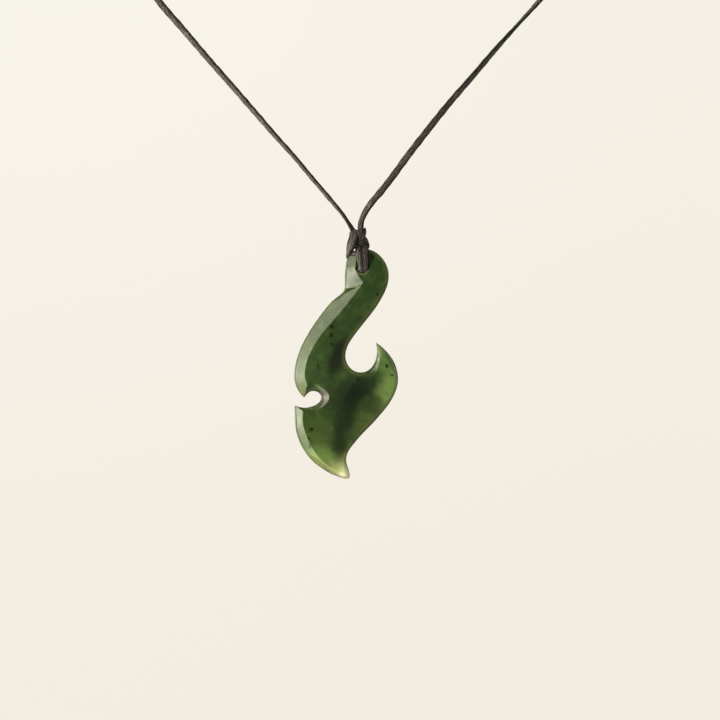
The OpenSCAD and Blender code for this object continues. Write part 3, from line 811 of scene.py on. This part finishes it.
def greenstone():
    """Polished nephrite: patches, mottling, inclusions, a thin rim that glows, a painted glow at the
    tail's tip, and painted highlights at the hole, in the barb and by the notch.
    """
    s = Shader("greenstone_nephrite")
    place = s.add("TexCoord").outputs["Object"]
    warp = s.add("TexNoise", {"Vector": place, "Scale": 160.0, "Detail": 3.0, "Roughness": 0.6})
    shift = s.add("VectorMath", {0: warp.outputs["Color"], 1: (0.5, 0.5, 0.5)}, operation="SUBTRACT")
    shift = s.add("VectorMath", {0: shift.outputs[0], "Scale": 0.004}, operation="SCALE")
    wavy = s.add("VectorMath", {0: place, 1: shift.outputs[0]}, operation="ADD").outputs[0]

    def cloud(x, z, across, up, lean=0.0, source=None):
        """1 at a place in the stone falling to 0 at its edge; x and z in mm"""
        moved = s.add(
            "Mapping",
            {
                "Vector": source or wavy,
                "Location": (x * MM, 0, z * MM),
                "Rotation": (0, math.radians(lean), 0),
                "Scale": (across * MM, 1.0, up * MM),
            },
            vector_type="TEXTURE",
        )
        ball = s.add("TexGradient", {"Vector": moved.outputs[0]}, gradient_type="SPHERICAL")
        return s.ramp(ball.outputs["Fac"], 0.0, 0.75)

    colour = srgb(61, 81, 43)
    for x, z, across, up, lean, tone, share in PALE_PATCHES_AND_GLOW:
        colour = s.mix(s.math("MULTIPLY", cloud(x, z, across, up, lean), share), colour, tone)

    # mottling at two scales
    mottle = s.add("TexNoise", {"Vector": wavy, "Scale": 420.0, "Detail": 5.0, "Roughness": 0.62})
    colour = s.mix(s.ramp(mottle.outputs["Fac"], 0.42, 0.72, 0.0, 0.3), colour, srgb(110, 138, 74))
    deep = s.add("TexNoise", {"Vector": wavy, "Scale": 260.0, "Detail": 4.0, "Roughness": 0.6})
    colour = s.mix(s.ramp(deep.outputs["Fac"], 0.5, 0.74, 0.0, 0.35), colour, srgb(40, 58, 28))

    for x, z, across, up, lean, tone, share in DARK_CLOUDS:
        colour = s.mix(s.math("MULTIPLY", cloud(x, z, across, up, lean), share), colour, tone)

    # small dark inclusions, where the stone has them
    rough = s.add("TexNoise", {"Vector": place, "Scale": 1300.0, "Detail": 2.0})
    jitter = s.add("VectorMath", {0: rough.outputs["Color"], 1: (0.5, 0.5, 0.5)}, operation="SUBTRACT")
    jitter = s.add("VectorMath", {0: jitter.outputs[0], "Scale": 0.0011}, operation="SCALE")
    ragged = s.add("VectorMath", {0: place, 1: jitter.outputs[0]}, operation="ADD").outputs[0]
    specks = None
    for x, z, across, up, lean in INCLUSIONS:
        one = cloud(x, z, across, up, lean, ragged)
        specks = one if specks is None else s.math("MAXIMUM", specks, one)
    colour = s.mix(s.math("MULTIPLY", specks, 0.88), colour, srgb(20, 28, 12))

    # the rim is thin: first a pale band where light comes through, then a brown line at the edge
    deep_in = s.add("SeparateXYZ", {0: s.add("UVMap", uv_map="along").outputs[0]}).outputs["X"]
    leans = s.add("SeparateXYZ", {0: s.add("NewGeometry").outputs["Normal"]}).outputs["X"]
    thin = s.math("MULTIPLY", s.ramp(deep_in, 0.25, 1.3, 0.3, 0.0), s.ramp(leans, -0.4, -0.2))
    colour = s.mix(thin, colour, srgb(150, 162, 88))
    colour = s.mix(s.ramp(deep_in, 0.06, 0.24, 0.9, 0.0), colour, srgb(82, 70, 38))

    # painted highlight: the lower half of the hole's mouth is painted pale, where light gathers on its
    # lower lip
    spot = s.add("VectorMath", {0: place, "Scale": 1 / MM}, operation="SCALE").outputs[0]
    split = s.add("SeparateXYZ", {0: spot})
    x, z = split.outputs["X"], split.outputs["Z"]
    off_x, off_z = s.math("SUBTRACT", x, BORE[0]), s.math("SUBTRACT", z, BORE[1])
    away2 = s.math("ADD", s.math("MULTIPLY", off_x, off_x), s.math("MULTIPLY", off_z, off_z))
    away = s.math("SQRT", away2)
    mouth_highlight = s.math("MULTIPLY", s.ramp(away, 1.72, 1.9, 0.7, 0.0), s.ramp(off_z, -1.0, -0.4, 1.0, 0.0))
    colour = s.mix(mouth_highlight, colour, srgb(160, 166, 138))

    # painted reflection: where the facet right of the notch faces left towards the big light, it is
    # painted pale grey so that its reflection of that light reads white
    painted_reflection = cloud(-6.5, -192.1, 2.6, 5.6, 0, place)
    painted_reflection = s.math("MULTIPLY", painted_reflection, s.ramp(leans, -0.24, -0.08, 0.85, 0.0))
    colour = s.mix(painted_reflection, colour, srgb(95, 92, 87))

    # painted highlight: a narrow pale strip along the inside of the barb, where a thin facet there
    # catches the light
    down = s.math("ADD", z, -BARB_LINE_Z)
    bent = s.math("MULTIPLY_ADD", s.math("MULTIPLY", down, down), BARB_LINE_BEND, BARB_LINE_X)
    beside = s.math("SUBTRACT", x, bent)
    strip = s.ramp(s.math("ABSOLUTE", beside), 0.08, 0.27, 1.0, 0.0)
    strip = s.math("MULTIPLY", strip, s.ramp(down, -5.2, -3.4, 0.0, 0.7))
    strip = s.math("MULTIPLY", strip, s.ramp(down, -0.4, 1.6, 1.0, 0.0))
    colour = s.mix(strip, colour, srgb(176, 190, 150))

    # a shallow facet in the shoulder under the head, between a straight edge and a curved one
    curve = s.math("MULTIPLY_ADD", x, *SHOULDER_CURVE[:2])
    curve = s.math("MULTIPLY_ADD", curve, x, SHOULDER_CURVE[2])
    above = s.math("SUBTRACT", z, curve)
    below = s.math("SUBTRACT", s.math("MULTIPLY_ADD", x, *SHOULDER_LINE), z)
    facet = s.math("MULTIPLY", s.ramp(above, -0.05, 0.1), s.ramp(below, -0.05, 0.05))
    facet = s.math("MULTIPLY", facet, s.ramp(x, -7.0, -4.5))
    lift = s.math("MULTIPLY", s.math("MULTIPLY", above, facet), SHOULDER_LIFT * MM)
    shoulder = s.add("Bump", {"Strength": 1.0, "Distance": 1.0, "Height": lift})

    # thin fibres in the stone barely show in the polish
    grain = s.add("TexNoise", {"Vector": place, "Scale": 900.0, "Detail": 4.0, "Roughness": 0.7})
    fine = grain.outputs["Fac"]
    bump = s.add(
        "Bump", {"Strength": 0.02, "Distance": 0.0004, "Height": fine, "Normal": shoulder.outputs[0]}
    )
    gloss = s.ramp(fine, 0.3, 0.7, 0.06, 0.11)
    return s.finish(
        Base_Color=colour,
        Roughness=gloss,
        IOR=1.62,
        Subsurface_Weight=0.65,
        Subsurface_Radius=(1.1, 1.5, 0.6),
        Subsurface_Scale=0.0008,
        Normal=bump.outputs[0],
    )


def waxed_braid():
    """Dark waxed cord: fibres along the yarns, worn pale in places, and painted shade darkening its
    edges.
    """
    s = Shader("waxed_braid_cord")
    place = s.add("UVMap", uv_map="along").outputs[0]
    round_it = s.add("UVMap", uv_map="round").outputs[0]
    across = s.math("ABSOLUTE", s.add("SeparateXYZ", {"Vector": round_it}).outputs[0])
    stretched = s.add("Mapping", {"Vector": place, "Scale": (0.4, 7.0, 1.0)})
    fibre = s.add(
        "TexNoise", {"Vector": stretched.outputs[0], "Scale": 2.2, "Detail": 4.0, "Roughness": 0.65}
    )
    where = s.add("TexCoord").outputs["Object"]
    worn = s.add("TexNoise", {"Vector": where, "Scale": 420.0, "Detail": 3.0})
    colour = s.mix(s.ramp(fibre.outputs["Fac"], 0.36, 0.66), srgb(53, 47, 44), srgb(86, 78, 75))
    colour = s.mix(s.ramp(worn.outputs["Fac"], 0.48, 0.72, 0.0, 0.5), colour, srgb(112, 103, 100))
    # painted shade: each braid is darkened towards its edges, where they turn away from the light
    colour = s.mix(s.ramp(across, 0.5, 0.92, 0.0, 0.93), colour, srgb(16, 13, 10))
    bump = s.add("Bump", {"Strength": 0.35, "Distance": 0.00003, "Height": fibre.outputs["Fac"]})
    rough = s.ramp(fibre.outputs["Fac"], 0.3, 0.7, 0.62, 0.5)
    return s.finish(
        Base_Color=colour,
        Roughness=rough,
        Specular_IOR_Level=0.4,
        Sheen_Weight=0.1,
        Sheen_Roughness=0.5,
        Normal=bump.outputs[0],
    )


stone_look = greenstone()
cord_look = waxed_braid()
stone.data.materials.clear()  # the boolean leaves an empty slot
stone.data.materials.append(stone_look)
stone.data.polygons.foreach_set("material_index", [0] * len(stone.data.polygons))
for o in (left_cord, right_cord, knot, lashing, closing_knot):
    o.data.materials.append(cord_look)

# ---------------------------------------------------------------- what each piece stands for
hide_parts("hook")
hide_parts("lashing")
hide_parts("binding_knot")
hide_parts("left_cord")
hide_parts("right_cord")
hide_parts("closing_knot")
for o in (stone, lashing, knot, left_cord, right_cord, closing_knot):
    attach(o, "root")

# ---------------------------------------------------------------- floor, backdrop and light
# A wide round floor that sweeps up all round, seen by the camera alone, in metres
FLOOR_Z = -0.55
FLAT_R = 1.2
SWEEP_R = 2.2
SWEEP_STEPS = 24
WALL_TOP = 5.0
AROUND = 72
sweep = [(0.02, FLOOR_Z), (FLAT_R / 2, FLOOR_Z)]
for k in range(SWEEP_STEPS + 1):
    a = math.radians(90 * k / SWEEP_STEPS)
    sweep.append((FLAT_R + SWEEP_R * math.sin(a), FLOOR_Z + SWEEP_R * (1 - math.cos(a))))
sweep.append((FLAT_R + SWEEP_R, WALL_TOP))
points = [
    (r * math.cos(2 * math.pi * k / AROUND) / MM, r * math.sin(2 * math.pi * k / AROUND) / MM, z / MM)
    for r, z in sweep
    for k in range(AROUND)
]
faces = []
for i in range(len(sweep) - 1):
    here, there = i * AROUND, (i + 1) * AROUND
    for k in range(AROUND):
        j = (k + 1) % AROUND
        faces.append([here + k, here + j, there + j, there + k])
faces.append(list(range(AROUND - 1, -1, -1)))
floor = mesh_object("floor", points, faces)
floor.visible_diffuse = floor.visible_glossy = floor.visible_transmission = floor.visible_shadow = False
paper = Shader("pale_floor")
where = paper.add("SeparateXYZ", {0: paper.add("TexCoord").outputs["Object"]})
tone = paper.mix(paper.ramp(where.outputs["Z"], -0.7, 0.35), srgb(243, 236, 223), srgb(248, 244, 236))
side = paper.ramp(where.outputs["X"], -0.45, 0.45)
tone = paper.mix(paper.math("MULTIPLY", side, 0.4), tone, srgb(240, 234, 218))
paper.add("OutputMaterial", {"Surface": paper.add("Emission", {"Color": tone}).outputs[0]})
floor.data.materials.append(paper.material)

MIDDLE = Vector((0.0, 0.0, -0.17))  # what the lights face, in metres


def softbox(name, azimuth, elevation, distance, width, height, radiance):
    """A square light that faces the pendant, in degrees and metres, and doesn't show in the polish.
    Azimuth 0 is behind the camera, 90 to its right."""
    light = bpy.data.lights.new(name, "AREA")
    light.shape = "RECTANGLE"
    light.size, light.size_y = width, height
    light.energy = radiance * math.pi * width * height
    light.color = (1.0, 0.98, 0.94)
    o = bpy.data.objects.new(name, light)
    bpy.context.scene.collection.objects.link(o)
    a, e = math.radians(azimuth), math.radians(elevation)
    back = Vector((math.sin(a) * math.cos(e), -math.cos(a) * math.cos(e), math.sin(e)))
    o.location = MIDDLE + back * distance
    o.rotation_mode = "QUATERNION"
    o.rotation_quaternion = back.to_track_quat("Z", "Y")
    o.visible_camera = o.visible_glossy = False


softbox("back_light", azimuth=180, elevation=20, distance=1.4, width=1.6, height=1.6, radiance=4.0)
softbox("right_fill", azimuth=70, elevation=0, distance=1.2, width=0.9, height=1.4, radiance=2.2)

# The big light on the left, dimmer towards its top, as a glowing panel with a corner cut off. Its
# outline is in mm and the ramps over it in metres, along it towards the camera and up from MIDDLE
PANEL_AZIMUTH = math.radians(84)
PANEL_OUTLINE = [
    (-700, 0, -1900), (1250, 0, -1900), (1250, 0, 100),
    (800, 0, 600), (800, 0, 1500), (-700, 0, 1500),
]
panel = mesh_object("left_softbox", PANEL_OUTLINE, [[0, 1, 2, 3, 4, 5]], smooth=False)
panel.location = MIDDLE - Vector((math.sin(PANEL_AZIMUTH), math.cos(PANEL_AZIMUTH), 0))
panel.rotation_euler = (0, 0, -PANEL_AZIMUTH)
panel.visible_camera = False
glow = Shader("left_softbox_light")
spot = glow.add("SeparateXYZ", {0: glow.add("TexCoord").outputs["Object"]})
along_it, height = spot.outputs["X"], spot.outputs["Z"]
main = glow.ramp(height, -0.1, 0.7, 5.0, 2.6)
strength = glow.math("SUBTRACT", main, glow.ramp(height, -0.6, 0.0, 3.25, 0.0))
# its end near the camera, which the flatter facets mirror, is brighter low down and fades out
low = glow.ramp(height, -0.4, -0.15, 1.65, 0.0)
lit = glow.math("ADD", glow.ramp(along_it, 0.5, 0.7, 1.1, 0.1), low)
near = glow.math("MULTIPLY", glow.ramp(along_it, 0.35, 0.5), lit)
fade = glow.math("MULTIPLY", glow.ramp(along_it, 0.72, 1.0), glow.math("ADD", low, 0.48))
near = glow.math("SUBTRACT", near, fade)
near = glow.math("MULTIPLY", near, glow.ramp(height, 0.1, 0.5, 1.0, 0.0))
strength = glow.math("MULTIPLY_ADD", strength, near, strength)
glowing = glow.add("Emission", {"Color": (1.0, 0.95, 0.79, 1.0), "Strength": strength})
glow.add("OutputMaterial", {"Surface": glowing.outputs[0]})
panel.data.materials.append(glow.material)

# A faint sky, a little brighter behind the pendant than on the camera's side
SKY_LEVELS = {"From Min": 0.0, "From Max": 0.9, "To Min": 0.05, "To Max": 0.12}
world = bpy.data.worlds.new("studio")
bpy.context.scene.world = world
world.use_nodes = True
nodes, links = world.node_tree.nodes, world.node_tree.links
nodes.clear()
way = nodes.new("ShaderNodeTexCoord")
split = nodes.new("ShaderNodeSeparateXYZ")
level = nodes.new("ShaderNodeMapRange")
for key, value in SKY_LEVELS.items():
    level.inputs[key].default_value = value
sky = nodes.new("ShaderNodeBackground")
sky.inputs["Color"].default_value = (1.0, 0.97, 0.92, 1.0)
world_out = nodes.new("ShaderNodeOutputWorld")
for a, b in (
    (way.outputs["Generated"], split.inputs[0]),
    (split.outputs["Y"], level.inputs["Value"]),
    (level.outputs[0], sky.inputs["Strength"]),
    (sky.outputs[0], world_out.inputs["Surface"]),
):
    links.new(a, b)
